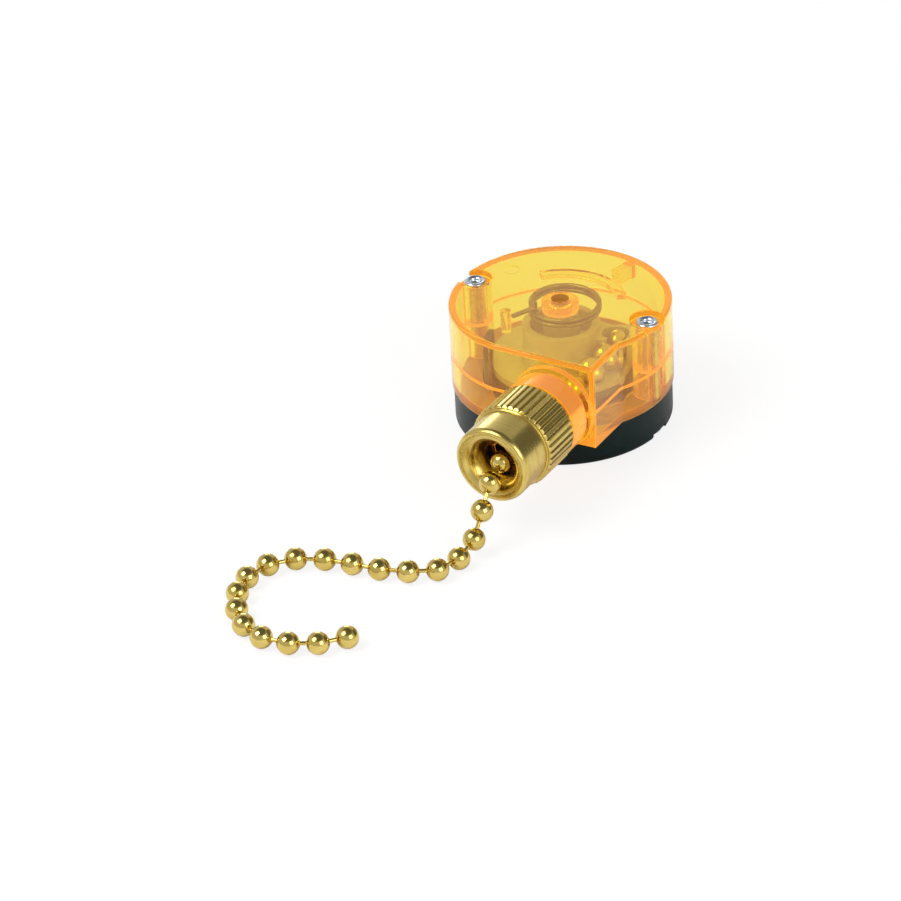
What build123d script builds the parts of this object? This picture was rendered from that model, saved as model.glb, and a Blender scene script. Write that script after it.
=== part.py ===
from build123d import *

import math
import os

os.makedirs("parts", exist_ok=True)

# A pull-chain switch, in millimetres. The axis of the round case is Z and its underside is at Z = 0.
# The neck, the nut and the pulled chain point along -Y, and the two rivets stand on the X axis.

# Case, seen from above: a circle with one squared corner that carries the neck
case_radius = 16.0
front_flat = 0.2
case_wall = 1.05
case_height = 18.6
roof_thickness = 1.1
case_edge_round = 0.45
body_floor = 1.0

# Black base
base_inset = 0.25
base_floor = 1.6
base_edge_round = 0.7
disc_recess = 0.83
spigot_height = 0.85
spigot_wall = 0.75
spigot_gap = 0.15
spigot_post_gap = 0.1
guard_height = 4.1
guard_angles = (186, 232)

# Rivets
rivet_edge = 2.0
rivet_radius = 1.0
rivet_head_radius = 1.6
rivet_head_height = 0.5
rivet_roll_radius = 0.3
rivet_cup_radius = 0.62
rivet_cup_depth = 2.6
rivet_gap = 0.08
rivet_pocket_radius = 2.5
rivet_pocket_depth = 0.9
rivet_post_radius = 2.4

# Neck, measured outwards from the flat front of the case
neck_offset = 7.5
neck_below_roof = 1.15
neck_beside_corner = 0.1
flange_radius = 6.3
flange_length = 0.8
groove_radius = 5.4
groove_length = 1.0
collar_radius = 6.1
collar_length = 3.6
stub_radius = 4.65
stub_length = 7.6
chain_bore_radius = 2.3

# Bell nut
nut_gap = 0.1
nut_length = 12.7
nut_thread_gap = 0.1
knurl_radius = 6.25
knurl_length = 6.8
knurl_count = 40
knurl_groove_side = 0.42
knurl_chamfer = 0.4
nut_barrel_radius = 5.65
nut_lip_radius = 5.0
nut_lip_depth = 0.8
nut_throat_radius = 2.5
nut_throat_length = 1.0

# Moving parts on the pin
pin_radius = 1.5
pin_floor = 2.0
pin_press = 0.01
running_gap = 0.05
pin_hole_radius = 1.3
pin_below_roof = 0.25
hub_boss_radius = 2.7
hub_boss_length = 1.3

# Chain
bead_radius = 1.6
bead_sides = 20
link_radius = 0.36
taut_pitch = 4.25
inner_bead_count = 8
free_bead_count = 20
throat_sag = 0.9
chain_drop = [(7.7, -34.4, 9.2), (7.85, -36.9, 6.7), (7.75, -39.2, 3.3)]
chain_touchdown = (7.5, -42.4)
chain_lying = [
    (7.0, -46.1),
    (1.0, -50.0),
    (-7.5, -51.3),
    (-14.6, -54.9),
    (-16.3, -60.5),
    (-14.2, -66.3),
    (-7.0, -71.8),
    (0.5, -70.1),
    (3.7, -66.8),
]

# Drive wheel: the pull turns it by half a quarter turn
turn_per_pull = 45
wheel_guard_gap = 0.6
wheel_plate = 0.95
wheel_gap = 0.2
drum_radius = 5.6
drum_height = 4.7
drum_rim = 1.1
drum_groove_depth = 3.2
drum_hub_radius = 2.6
pocket_gap = 0.1
pocket_floor_gap = 0.25
pocket_front_wall = 0.45
pocket_back_wall = 0.6
pocket_end_wall = 0.5
pocket_height = 3.2
link_slit_gap = 0.14

# Rotor, contacts and ratchet teeth
tooth_count = 8
tooth_height = 0.65
tooth_length = 2.65
tooth_width = 2.6
tooth_inset = 0.5
tooth_gap = 0.1
tooth_backlash = 1.5
rotor_inset = 0.7
rotor_thickness = 1.1
contact_thickness = 0.3
contact_gap = 0.05
contact_inset = 0.7
inner_track = (3.6, 5.4)
lobe_angle = 52
stud_radius = 0.45
stud_place = 6.0

# Terminals and what holds them
disc_thickness = 0.6
disc_gap = 0.1
strip = 0.35
strip_width = 2.4
strip_gap = 0.05
button_radius = 0.6
button_height = 0.15
wire_hole_radius = 1.25
chamber_length = 5.2
chamber_width = 4.4
grip_thickness = 0.25
grip_width = 2.2
grip_bite_depth = 1.25
bend_radius = 0.45
terminal_shelf = 1.9
terminal_rise = 0.8
outer_reach = 0.9
inner_finger = 4.5
washer_gap = 0.2
washer_radius = 3.3
washer_thickness = 0.3

# Torsion spring
spring_radius = 4.9
spring_wire = 0.35
spring_sides = 8
spring_knuckle = 0.38
spring_pitch = 0.74
spring_full_turns = 2
spring_shift = 1.4
spring_shift_angle = 90
spring_below_roof = 0.3
spring_leg_angle = 232
spring_leg_end = (-4.6, -5.8)
spring_tang_depth = 0.9
spring_post_radius = 0.75
spring_post_length = 3.3

# Ribs under the roof of the cover
arc_rib_radii = (8.2, 9.5)
arc_rib_angles = (38, 137)
arc_rib_depth = 0.9
key_rib_angle = 75
key_rib_width = 1.5
key_rib_length = 4.0
key_rib_depth = 2.2
mark_place = (-10.4, 4.4)
mark_radius = 1.2
mark_depth = 0.1

# Heights and places that follow from the sizes above
roof_level = case_height - roof_thickness
seam_height = case_height - neck_below_roof - flange_radius
wheel_top = seam_height - bead_radius - pocket_floor_gap
wheel_level = wheel_top - wheel_plate
rotor_top = wheel_level - tooth_gap - tooth_height
rotor_level = rotor_top - rotor_thickness
contact_level = rotor_level - contact_thickness
finger_top = contact_level - contact_gap - button_height
disc_top = finger_top - strip - strip_gap
disc_level = disc_top - disc_thickness
shelf_level = disc_level - strip_gap
base_height = disc_level + disc_recess
body_height = seam_height - base_height
boss_end = roof_level - hub_boss_length
drum_hub_top = boss_end - wheel_gap
drum_top = wheel_top + drum_height
pin_top = roof_level - pin_below_roof

corner_side = neck_offset + flange_radius + neck_beside_corner
corner_front = case_radius - front_flat
base_radius = case_radius - base_inset
rivet_offset = case_radius - rivet_edge
spigot_radius = rivet_offset - rivet_post_radius - spigot_gap - spigot_post_gap
guard_radius = spigot_radius - spigot_wall
chamber_middle = guard_radius - chamber_length / 2
wheel_plate_radius = guard_radius - wheel_guard_gap
rotor_radius = wheel_plate_radius - rotor_inset
tooth_outer_radius = rotor_radius - tooth_inset
tooth_inner_radius = tooth_outer_radius - tooth_width
outer_track_radius = rotor_radius - contact_inset
rivet_places = [(rivet_offset, 0), (-rivet_offset, 0)]
neck_axis = Axis((neck_offset, 0, seam_height), (0, -1, 0))
neck_profile = Plane(origin=(neck_offset, 0, seam_height), x_dir=(0, -1, 0), z_dir=(-1, 0, 0))
collar_start = corner_front + flange_length + groove_length
nut_start = collar_start + collar_length + nut_gap
stub_end = collar_start + collar_length + stub_length
rest_angle = turn_per_pull / 2
crank_radius = neck_offset / math.cos(math.radians(rest_angle))
anchor_y = neck_offset * math.tan(math.radians(rest_angle))

# The coil of the spring hangs a little to one side, and its tang stands over the middle of the drum's rim
spring_x = spring_shift * math.cos(math.radians(spring_shift_angle))
spring_y = spring_shift * math.sin(math.radians(spring_shift_angle))
rim_radius = drum_radius - drum_rim / 2
tang_cosine = (rim_radius**2 - spring_radius**2 - spring_shift**2) / (2 * spring_radius * spring_shift)
tang_turn = math.degrees(math.acos(tang_cosine))
tang_angle = spring_shift_angle + tang_turn
spring_turns = spring_full_turns + (spring_leg_angle - tang_angle) / 360
coil_height = spring_pitch * spring_turns
coil_level = roof_level - spring_below_roof - spring_wire - coil_height
spring_tang = coil_level - drum_top + spring_tang_depth
tang_x = spring_x + spring_radius * math.cos(math.radians(tang_angle))
tang_y = spring_y + spring_radius * math.sin(math.radians(tang_angle))


def case_plan(inset):
    """Plan of the case, moved in from its outer face by inset."""
    with BuildSketch(mode=Mode.PRIVATE) as plan:
        Circle(case_radius - inset)
        with Locations((0, inset - corner_front)):
            Rectangle(corner_side - inset, corner_front - inset, align=(Align.MIN, Align.MIN))
            Rectangle(2 * case_radius, case_radius, align=(Align.CENTER, Align.MAX), mode=Mode.SUBTRACT)
    return plan.sketch


def ring_sector(inner, outer, start, end):
    """A piece of a flat ring between two radii and two angles in degrees."""
    with BuildSketch(mode=Mode.PRIVATE) as sector:
        with BuildLine():
            rim = CenterArc((0, 0), outer, start, end - start)
            bore = CenterArc((0, 0), inner, start, end - start)
            Line(bore @ 0, rim @ 0)
            Line(bore @ 1, rim @ 1)
        make_face()
    return sector.sketch


def rivet_columns(radius, bottom, top):
    """Round columns on both rivet axes between two heights."""
    with BuildPart() as columns:
        with BuildSketch(Plane.XY.offset(bottom)):
            with Locations(*rivet_places):
                Circle(radius)
        extrude(amount=top - bottom)
    return columns.part


def rivet_posts(bottom, top):
    """Posts around both rivets, merged with the wall of the case."""
    with BuildPart() as posts:
        with BuildSketch(Plane.XY.offset(bottom)):
            with Locations(*rivet_places):
                Circle(rivet_post_radius)
            add(case_plan(0), mode=Mode.INTERSECT)
        extrude(amount=top - bottom)
    return posts.part


def neck_half(kept):
    """Half of the neck: a flange on the case, a groove, a collar and the threaded stub."""
    root = corner_front - case_wall / 2
    with BuildPart() as neck:
        with BuildSketch(neck_profile):
            with Locations((root, 0)):
                Rectangle(case_wall / 2 + flange_length, flange_radius, align=(Align.MIN, Align.MIN))
                Rectangle(collar_start - root, groove_radius, align=(Align.MIN, Align.MIN))
            with Locations((collar_start, 0)):
                Rectangle(collar_length, collar_radius, align=(Align.MIN, Align.MIN))
                Rectangle(collar_length + stub_length, stub_radius, align=(Align.MIN, Align.MIN))
        revolve(axis=neck_axis)
        split(bisect_by=Plane.XY.offset(seam_height), keep=kept)
    return neck.part


def chain_bore():
    """The way of the chain out of the case, through the front wall and the neck."""
    with BuildPart() as way:
        with BuildSketch(Plane(origin=neck_axis.position, z_dir=neck_axis.direction)):
            Circle(chain_bore_radius)
        extrude(amount=stub_end)
    return way.part


def turned(level, angle):
    """A level plane whose X axis is turned to an angle in degrees."""
    return Plane.XY.offset(level).rotated((0, 0, angle))


# Top cover, clear amber plastic
with BuildPart() as top_cover:
    add(neck_half(Keep.TOP))
    with BuildSketch(Plane.XY.offset(seam_height)):
        add(case_plan(0))
    extrude(amount=case_height - seam_height)
    fillet(top_cover.faces().sort_by(Axis.Z)[-1].edges(), radius=case_edge_round)
    with BuildSketch(Plane.XY.offset(seam_height)):
        add(case_plan(case_wall))
    extrude(amount=roof_level - seam_height, mode=Mode.SUBTRACT)
    add(rivet_posts(seam_height, roof_level))
    # Hub boss over the pin, arc rib, key rib and the post that stops the spring's leg
    with BuildSketch(Plane.XY.offset(roof_level)):
        Circle(hub_boss_radius)
    extrude(amount=-hub_boss_length)
    with BuildSketch(Plane.XY.offset(roof_level)):
        add(ring_sector(*arc_rib_radii, *arc_rib_angles))
    extrude(amount=-arc_rib_depth)
    with BuildSketch(Plane.XY.offset(roof_level).rotated((0, 0, key_rib_angle))):
        with Locations((case_radius - case_wall / 2, 0)):
            Rectangle(key_rib_length, key_rib_width, align=(Align.MAX, Align.CENTER))
    extrude(amount=-key_rib_depth)
    with BuildSketch(Plane.XY.offset(roof_level)):
        with Locations((spring_leg_end[0] - spring_wire - spring_post_radius, spring_leg_end[1])):
            Circle(spring_post_radius)
    extrude(amount=-spring_post_length)
    # Hole over the pin's end, bore for the pin, open pockets over the rivets and a faint ejector mark
    with BuildSketch(Plane.XY.offset(case_height)):
        Circle(pin_hole_radius)
    extrude(amount=-case_height, mode=Mode.SUBTRACT)
    with BuildSketch(Plane.XY.offset(roof_level - pin_below_roof + running_gap)):
        Circle(pin_radius + running_gap)
    extrude(amount=-case_height, mode=Mode.SUBTRACT)
    with BuildSketch(Plane.XY.offset(case_height)):
        with Locations(*rivet_places):
            Circle(rivet_pocket_radius)
    extrude(amount=-rivet_pocket_depth, mode=Mode.SUBTRACT)
    with BuildSketch(Plane.XY.offset(case_height)):
        with Locations(mark_place):
            Circle(mark_radius)
    extrude(amount=-mark_depth, mode=Mode.SUBTRACT)
    add(rivet_columns(rivet_radius + rivet_gap, seam_height, case_height), mode=Mode.SUBTRACT)
    add(chain_bore(), mode=Mode.SUBTRACT)
top_cover.part.label = "top_cover"
export_step(top_cover.part, "parts/top_cover.step")

# Middle body, clear amber plastic, open below where the base's spigot enters it
with BuildPart() as middle_body:
    add(neck_half(Keep.BOTTOM))
    with BuildSketch(Plane.XY.offset(base_height)):
        add(case_plan(0))
    extrude(amount=body_height)
    with BuildSketch(Plane.XY.offset(base_height + body_floor)):
        add(case_plan(case_wall))
    extrude(amount=body_height, mode=Mode.SUBTRACT)
    with BuildSketch(Plane.XY.offset(base_height)):
        Circle(spigot_radius + spigot_gap)
    extrude(amount=body_floor, mode=Mode.SUBTRACT)
    add(rivet_posts(base_height, seam_height))
    add(rivet_columns(rivet_radius + rivet_gap, base_height, seam_height), mode=Mode.SUBTRACT)
    add(chain_bore(), mode=Mode.SUBTRACT)
middle_body.part.label = "middle_body"
export_step(middle_body.part, "parts/middle_body.step")

# Base, black plastic: four chambers for the terminals, a wire hole under each, and a socket for the pin
with BuildPart() as base:
    with BuildSketch():
        Circle(base_radius)
    extrude(amount=base_height)
    fillet(base.edges().sort_by(Axis.Z)[0], radius=base_edge_round)
    with BuildSketch(Plane.XY.offset(base_height)):
        Circle(spigot_radius)
    extrude(amount=spigot_height)
    with BuildSketch(Plane.XY.offset(disc_level)):
        Circle(guard_radius)
    extrude(amount=base_height, mode=Mode.SUBTRACT)
    with BuildSketch(Plane.XY.offset(base_height + spigot_height)):
        add(ring_sector(guard_radius, spigot_radius, *guard_angles))
    extrude(amount=guard_height)
    with BuildSketch(Plane.XY.offset(base_floor)):
        with PolarLocations(chamber_middle, 4, start_angle=45):
            Rectangle(chamber_length, chamber_width)
    extrude(amount=disc_level - base_floor, mode=Mode.SUBTRACT)
    with BuildSketch():
        with PolarLocations(chamber_middle, 4, start_angle=45):
            Circle(wire_hole_radius)
    extrude(amount=base_floor, mode=Mode.SUBTRACT)
    with BuildSketch(Plane.XY.offset(pin_floor)):
        Circle(pin_radius + pin_press)
    extrude(amount=base_height, mode=Mode.SUBTRACT)
    with BuildSketch():
        with Locations(*rivet_places):
            Circle(rivet_pocket_radius)
    extrude(amount=rivet_pocket_depth, mode=Mode.SUBTRACT)
    add(rivet_columns(rivet_radius + rivet_gap, 0, base_height), mode=Mode.SUBTRACT)
base.part.label = "base"
export_step(base.part, "parts/base.step")

# Tubular rivets: a flat head below, a plain shank, and a rolled and cupped end in the cover's pocket
rivet_bottom = rivet_pocket_depth
rivet_top = case_height - rivet_pocket_depth
with BuildPart() as rivets:
    for place_x, place_y in rivet_places:
        with BuildSketch(Plane(origin=(place_x, place_y, 0), x_dir=(1, 0, 0), z_dir=(0, -1, 0))):
            with Locations((0, rivet_bottom)):
                shank_length = rivet_top - rivet_bottom + rivet_roll_radius
                Rectangle(rivet_radius, shank_length, align=(Align.MIN, Align.MIN))
                Rectangle(rivet_head_radius, rivet_head_height, align=(Align.MIN, Align.MAX))
            with Locations((rivet_head_radius - rivet_roll_radius, rivet_top + rivet_roll_radius)):
                Circle(rivet_roll_radius)
                Rectangle(rivet_radius, 2 * rivet_roll_radius, align=(Align.MAX, Align.CENTER))
            with Locations((0, rivet_top + 2 * rivet_roll_radius)):
                Rectangle(rivet_cup_radius, rivet_cup_depth, align=(Align.MIN, Align.MAX), mode=Mode.SUBTRACT)
                Rectangle(rivet_head_radius, case_height, align=(Align.MAX, Align.CENTER), mode=Mode.SUBTRACT)
        revolve(axis=Axis((place_x, place_y, 0), (0, 0, 1)))
rivets.part.label = "rivets"
export_step(rivets.part, "parts/rivets.step")

# Bell nut, turned brass: a knurled ring, a plain barrel, a rounded lip and a funnel down to the throat
nut_end = nut_start + nut_length
knurl_end = nut_start + knurl_length
barrel_end = nut_end - nut_lip_depth
with BuildPart() as bell_nut:
    thread_radius = stub_radius + nut_thread_gap
    web_start = stub_end + nut_gap
    throat_end = web_start + nut_throat_length
    with BuildSketch(neck_profile):
        with BuildLine():
            Polyline(
                (throat_end, nut_throat_radius),
                (web_start, nut_throat_radius),
                (web_start, thread_radius),
                (nut_start, thread_radius),
                (nut_start, knurl_radius - knurl_chamfer),
                (nut_start + knurl_chamfer, knurl_radius),
                (knurl_end - knurl_chamfer, knurl_radius),
                (knurl_end, nut_barrel_radius),
                (barrel_end, nut_barrel_radius),
            )
            lip = Spline(
                (barrel_end, nut_barrel_radius),
                (nut_end, nut_lip_radius),
                tangents=((1, 0), (0, -1)),
            )
            Spline(lip @ 1, (throat_end, nut_throat_radius), tangents=((0, -1), (-1, 0)))
        make_face()
    revolve(axis=neck_axis)
    with BuildSketch(Plane(origin=(neck_offset, -nut_start, seam_height), z_dir=(0, -1, 0))):
        with PolarLocations(knurl_radius, knurl_count):
            Rectangle(knurl_groove_side, knurl_groove_side, rotation=45)
    extrude(amount=knurl_length, mode=Mode.SUBTRACT)
bell_nut.part.label = "bell_nut"
export_step(bell_nut.part, "parts/bell_nut.step")

# Pivot pin, steel, pressed into the base and held by the cover's boss
with BuildPart() as pivot_pin:
    with BuildSketch(Plane.XY.offset(pin_floor)):
        Circle(pin_radius)
    extrude(amount=pin_top - pin_floor)
    chamfer(pivot_pin.edges().filter_by(GeomType.CIRCLE), length=4 * running_gap)
pivot_pin.part.label = "pivot_pin"
export_step(pivot_pin.part, "parts/pivot_pin.step")


def ratchet_teeth(level, height, run, shift):
    """A ring of wedge teeth on a level, each with one steep face and one ramp that runs out over a length."""
    with BuildPart() as teeth:
        for index in range(tooth_count):
            spot = turned(level, shift + index * 360 / tooth_count)
            inner = spot.from_local_coords((tooth_inner_radius, 0, 0))
            with BuildSketch(Plane(origin=inner, x_dir=spot.y_dir, z_dir=spot.x_dir)):
                with BuildLine():
                    Polyline((0, 0), (0, height), (run, 0), close=True)
                make_face()
            extrude(amount=tooth_outer_radius - tooth_inner_radius)
    return teeth.part


# Drive wheel, pale plastic: a plate with ratchet teeth below, a drum, and an arm with the end bead's pocket
pocket_radius = bead_radius + pocket_gap
with BuildPart() as drive_wheel:
    with BuildSketch(Plane.XY.offset(wheel_level)):
        Circle(wheel_plate_radius)
    extrude(amount=wheel_plate)
    add(ratchet_teeth(wheel_level, -tooth_height, tooth_length, 0))
    with BuildSketch(Plane.XY.offset(wheel_top)):
        Circle(drum_radius)
    extrude(amount=drum_top - wheel_top)
    with BuildSketch(turned(wheel_top, rest_angle)):
        with Locations((0, -pocket_radius - pocket_front_wall)):
            Rectangle(
                crank_radius + pocket_radius + pocket_end_wall,
                2 * pocket_radius + pocket_front_wall + pocket_back_wall,
                align=(Align.MIN, Align.MIN),
            )
    extrude(amount=pocket_height)
    with BuildSketch(turned(wheel_top, rest_angle)):
        with Locations(((crank_radius + neck_offset) / 2, 0)):
            SlotOverall(crank_radius - neck_offset + 2 * pocket_radius, 2 * pocket_radius)
    extrude(amount=drum_top, mode=Mode.SUBTRACT)
    # Slit in the front wall, wide enough for the link to swing as the arm turns
    swing = (pocket_radius + pocket_front_wall) * math.tan(math.radians(rest_angle))
    slit_inner = crank_radius - swing - link_radius - link_slit_gap
    slit_outer = crank_radius + swing + link_radius + link_slit_gap
    with BuildSketch(turned(wheel_top, rest_angle)):
        with Locations((slit_inner, 0)):
            Rectangle(slit_outer - slit_inner, wheel_plate_radius, align=(Align.MIN, Align.MAX))
    extrude(amount=drum_top, mode=Mode.SUBTRACT)
    with BuildSketch(Plane.XY.offset(drum_top)):
        Circle(drum_radius - drum_rim)
        Circle(drum_hub_radius, mode=Mode.SUBTRACT)
    extrude(amount=-drum_groove_depth, mode=Mode.SUBTRACT)
    with BuildSketch(Plane.XY.offset(wheel_top)):
        Circle(drum_hub_radius)
    extrude(amount=drum_hub_top - wheel_top)
    with BuildSketch(Plane.XY.offset(drum_top)):
        with Locations((tang_x, tang_y)):
            Circle(spring_wire + running_gap)
    extrude(amount=-spring_tang_depth - running_gap, mode=Mode.SUBTRACT)
    with BuildSketch(Plane.XY.offset(wheel_level)):
        Circle(pin_radius + running_gap)
    extrude(amount=case_height, mode=Mode.SUBTRACT)
drive_wheel.part.label = "drive_wheel"
export_step(drive_wheel.part, "parts/drive_wheel.step")

# Rotor, dark plastic: a disc on the pin with the mating ratchet teeth on top and two studs for its contact
with BuildPart() as rotor:
    with BuildSketch(Plane.XY.offset(rotor_level)):
        Circle(rotor_radius)
        Circle(pin_radius + running_gap, mode=Mode.SUBTRACT)
    extrude(amount=rotor_thickness)
    add(ratchet_teeth(rotor_top, tooth_height, -tooth_length, -tooth_backlash))
    with BuildSketch(Plane.XY.offset(rotor_level)):
        with PolarLocations(stud_place, 2):
            Circle(stud_radius)
    extrude(amount=-contact_thickness)
rotor.part.label = "rotor"
export_step(rotor.part, "parts/rotor.step")

# Moving contact, brass sheet: an inner track that is always live and two lobes that reach the outer fingers
with BuildPart() as contact_ring:
    with BuildSketch(Plane.XY.offset(contact_level)):
        Circle(inner_track[1])
        for middle in (0, 180):
            lobe_start = middle - lobe_angle / 2
            add(ring_sector(inner_track[0], outer_track_radius, lobe_start, lobe_start + lobe_angle))
        Circle(inner_track[0], mode=Mode.SUBTRACT)
        with PolarLocations(stud_place, 2):
            Circle(stud_radius + pin_press, mode=Mode.SUBTRACT)
    extrude(amount=contact_thickness)
contact_ring.part.label = "contact_ring"
export_step(contact_ring.part, "parts/contact_ring.step")

# Dished spring washer under the rotor
with BuildPart() as spring_washer:
    inner_edge = pin_radius + washer_gap
    with BuildSketch(Plane.XZ):
        with BuildLine():
            Polyline(
                (inner_edge, rotor_level - contact_gap),
                (inner_edge, rotor_level - contact_gap - washer_thickness),
                (washer_radius, disc_top),
                (washer_radius, disc_top + washer_thickness),
                close=True,
            )
        make_face()
    revolve(axis=Axis.Z)
spring_washer.part.label = "spring_washer"
export_step(spring_washer.part, "parts/spring_washer.step")

# Insulator disc, fibre, over the terminal chambers, with slots for the fingers
outer_finger = guard_radius - terminal_shelf - terminal_rise - outer_reach
terminals = {
    "terminal_one": (45, outer_finger),
    "terminal_two": (135, outer_finger),
    "terminal_common": (225, inner_finger),
    "terminal_three": (315, outer_finger),
}
with BuildPart() as insulator_disc:
    with BuildSketch(Plane.XY.offset(disc_level)):
        Circle(guard_radius - disc_gap)
        Circle(pin_radius + disc_gap, mode=Mode.SUBTRACT)
    extrude(amount=disc_thickness)
    for angle, finger in terminals.values():
        with BuildSketch(turned(disc_level, angle)):
            with Locations((finger - button_radius - disc_gap, 0)):
                slot_length = guard_radius - terminal_shelf + strip - finger + button_radius
                Rectangle(slot_length, strip_width + 2 * disc_gap, align=(Align.MIN, Align.CENTER))
        extrude(amount=disc_thickness, mode=Mode.SUBTRACT)
insulator_disc.part.label = "insulator_disc"
export_step(insulator_disc.part, "parts/insulator_disc.step")


def bent_strip(angle, outline, thickness, width):
    """Bent sheet strip at an angle round the axis. Its outer face follows (radius, height) points."""
    outward = turned(0, angle).x_dir
    with BuildPart() as strip_part:
        with BuildSketch(Plane(origin=(0, 0, 0), x_dir=outward, z_dir=outward.cross(Vector(0, 0, 1)))):
            with BuildLine():
                face = FilletPolyline(*outline, radius=bend_radius)
                offset(face, amount=thickness, side=Side.LEFT, closed=True)
            make_face()
        extrude(amount=width / 2, both=True)
    return strip_part.part


# Terminals, brass strip: a leg in the chamber, a shelf under the disc, a rising finger with a contact button
leg_face = guard_radius - strip_gap
for name, (angle, finger) in terminals.items():
    with BuildPart() as terminal:
        leg_outline = [
            (leg_face, base_floor + strip),
            (leg_face, shelf_level),
            (guard_radius - terminal_shelf, shelf_level),
            (guard_radius - terminal_shelf - terminal_rise, finger_top),
            (finger - 1.5 * button_radius, finger_top),
        ]
        add(bent_strip(angle, leg_outline, strip, strip_width))
        with BuildSketch(turned(finger_top, angle)):
            with Locations((finger, 0)):
                Circle(button_radius)
        extrude(amount=button_height)
    terminal.part.label = name
    export_step(terminal.part, "parts/" + name + ".step")

# Push-in wire grips, spring steel: a bent leaf in each chamber that bites the wire against the terminal's leg
chamber_inner = chamber_middle - chamber_length / 2
with BuildPart() as wire_grips:
    for angle, _ in terminals.values():
        leaf_outline = [
            (chamber_inner + strip_gap, shelf_level - strip),
            (chamber_inner + strip_gap, base_floor + strip_gap),
            (leg_face - strip - grip_thickness, shelf_level - grip_bite_depth),
        ]
        add(bent_strip(angle, leaf_outline, grip_thickness, grip_width))
wire_grips.part.label = "wire_grips"
export_step(wire_grips.part, "parts/wire_grips.step")

# Torsion spring, steel wire: a coil round the hub boss, a leg to the cover's post, a tang into the drum's rim
coil_plane = Plane(
    origin=(spring_x, spring_y, coil_level),
    x_dir=turned(coil_level, tang_angle).x_dir,
    z_dir=(0, 0, 1),
)
coil = coil_plane.location * Helix(pitch=spring_pitch, height=coil_height, radius=spring_radius)
tang_top = coil @ 0
leg_root = coil @ 1
leg = Vector(*spring_leg_end, leg_root.Z) - leg_root
with BuildPart() as torsion_spring:
    with BuildSketch(Plane(origin=tang_top, z_dir=coil % 0)):
        RegularPolygon(spring_wire, spring_sides)
    sweep(path=coil, is_frenet=True)
    with Locations(tang_top, leg_root):
        Sphere(spring_knuckle)
    with BuildSketch(Plane(origin=tang_top, z_dir=(0, 0, -1))):
        RegularPolygon(spring_wire, spring_sides)
    extrude(amount=spring_tang)
    with BuildSketch(Plane(origin=leg_root, z_dir=leg)):
        RegularPolygon(spring_wire, spring_sides)
    extrude(amount=leg.length)
torsion_spring.part.label = "torsion_spring"
export_step(torsion_spring.part, "parts/torsion_spring.step")

# Ball chain. Its inner beads lie in line on the neck's axis, from the pocket to the nut.
# The free stretch bends out of the nut's mouth, drops to the surface and lies there in an open loop.
inner_places = []
for index in range(inner_bead_count):
    inner_places.append(Vector(neck_offset, anchor_y - index * taut_pitch, seam_height))
throat_place = Vector(neck_offset, anchor_y - inner_bead_count * taut_pitch, seam_height - throat_sag)
touchdown = Vector(*chain_touchdown, bead_radius)
touchdown_way = (-0.1, -1, 0)
with BuildLine():
    drop = Spline(
        throat_place,
        *[Vector(*point) for point in chain_drop],
        touchdown,
        tangents=((0, -1, -throat_sag / taut_pitch), touchdown_way),
        tangent_scalars=(bead_radius, bead_radius),
    )
with BuildLine():
    lying = Spline(
        touchdown,
        *[Vector(*point, bead_radius) for point in chain_lying],
        tangents=(touchdown_way, (1, 1, 0)),
        tangent_scalars=(bead_radius, bead_radius),
    )
free_length = drop.length + lying.length
free_places = []
for index in range(free_bead_count):
    travelled = free_length * index / (free_bead_count - 1)
    if travelled <= drop.length:
        free_places.append(drop.position_at(travelled, position_mode=PositionMode.LENGTH))
    else:
        further = min(travelled - drop.length, lying.length)
        free_places.append(lying.position_at(further, position_mode=PositionMode.LENGTH))
print("free stretch of chain", round(free_length, 1), "mm")


def beads(places):
    """One ball at each place, turned in fine bands."""
    with BuildPart(mode=Mode.PRIVATE) as ball:
        with BuildSketch(Plane.XZ):
            RegularPolygon(bead_radius, bead_sides)
            Rectangle(bead_radius, 2 * bead_radius, align=(Align.MAX, Align.CENTER), mode=Mode.SUBTRACT)
        revolve(axis=Axis.Z)
    with BuildPart() as balls:
        with Locations(*places):
            add(ball.part)
    return balls.part


def links(places):
    """A wire link between each two neighbours, its cupped ends seated on the balls."""
    seat = math.sqrt(bead_radius**2 - link_radius**2)
    joined = []
    for near, far in zip(places, places[1:]):
        span = far - near
        side = Plane(origin=near, z_dir=span)
        with BuildPart() as link:
            with BuildSketch(Plane(origin=near, x_dir=span.normalized(), z_dir=side.x_dir)):
                with BuildLine():
                    Polyline(
                        (bead_radius, 0),
                        (seat, link_radius),
                        (span.length - seat, link_radius),
                        (span.length - bead_radius, 0),
                        close=True,
                    )
                make_face()
            revolve(axis=Axis(near, span))
        joined.append(link.part.solid())
    return joined


with BuildPart() as chain_beads:
    add(beads(free_places))
chain_beads.part.label = "chain_beads"
export_step(chain_beads.part, "parts/chain_beads.step")

with BuildPart() as inner_beads:
    add(beads(inner_places))
inner_beads.part.label = "inner_beads"
export_step(inner_beads.part, "parts/inner_beads.step")

with BuildPart() as chain_links:
    add(links(free_places))
chain_links.part.label = "chain_links"
export_step(chain_links.part, "parts/chain_links.step")

with BuildPart() as inner_links:
    add(links(inner_places + free_places[:1]))
inner_links.part.label = "inner_links"
export_step(inner_links.part, "parts/inner_links.step")
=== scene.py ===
import math

import bmesh
import bpy
from mathutils import Matrix, Vector


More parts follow.
